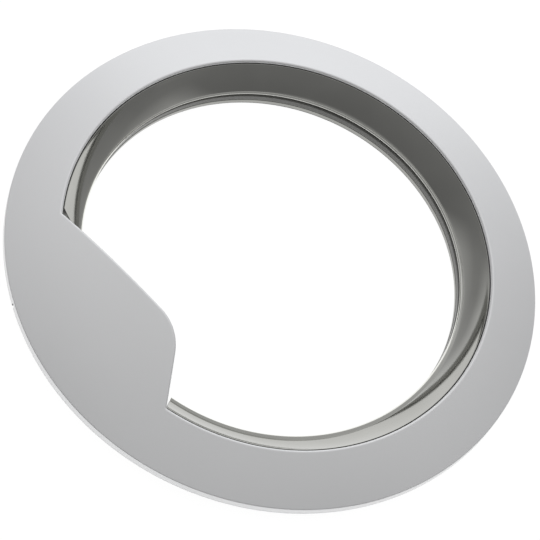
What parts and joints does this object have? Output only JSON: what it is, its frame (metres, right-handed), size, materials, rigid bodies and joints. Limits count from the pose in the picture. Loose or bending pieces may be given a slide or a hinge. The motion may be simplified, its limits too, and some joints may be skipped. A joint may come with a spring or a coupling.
{
  "type": "washing machine door outer frame",
  "caption": "Outer frame of a washing machine door: a silver domed ring with a fin-shaped handle flap over a finger gap, a grey funnel behind its opening and a bright collar in it.",
  "frame": {"origin": "on the ring's axis, at the level of the rear lip that the frame rests on", "axes": "+Z along the ring's axis, out of the domed face; +X towards the handle flap"},
  "size_m": [0.47, 0.47, 0.0531],
  "materials": {
    "silver_paint": "silver paint on moulded plastic, bare grey plastic on the back",
    "grey_plastic": "bare moulded plastic, mid grey",
    "bright_plating": "bright plating on moulded plastic"
  },
  "bodies": {
    "root": {"front_frame": "silver_paint", "inner_funnel": "grey_plastic", "inner_collar": "bright_plating"}
  },
  "joints": []
}
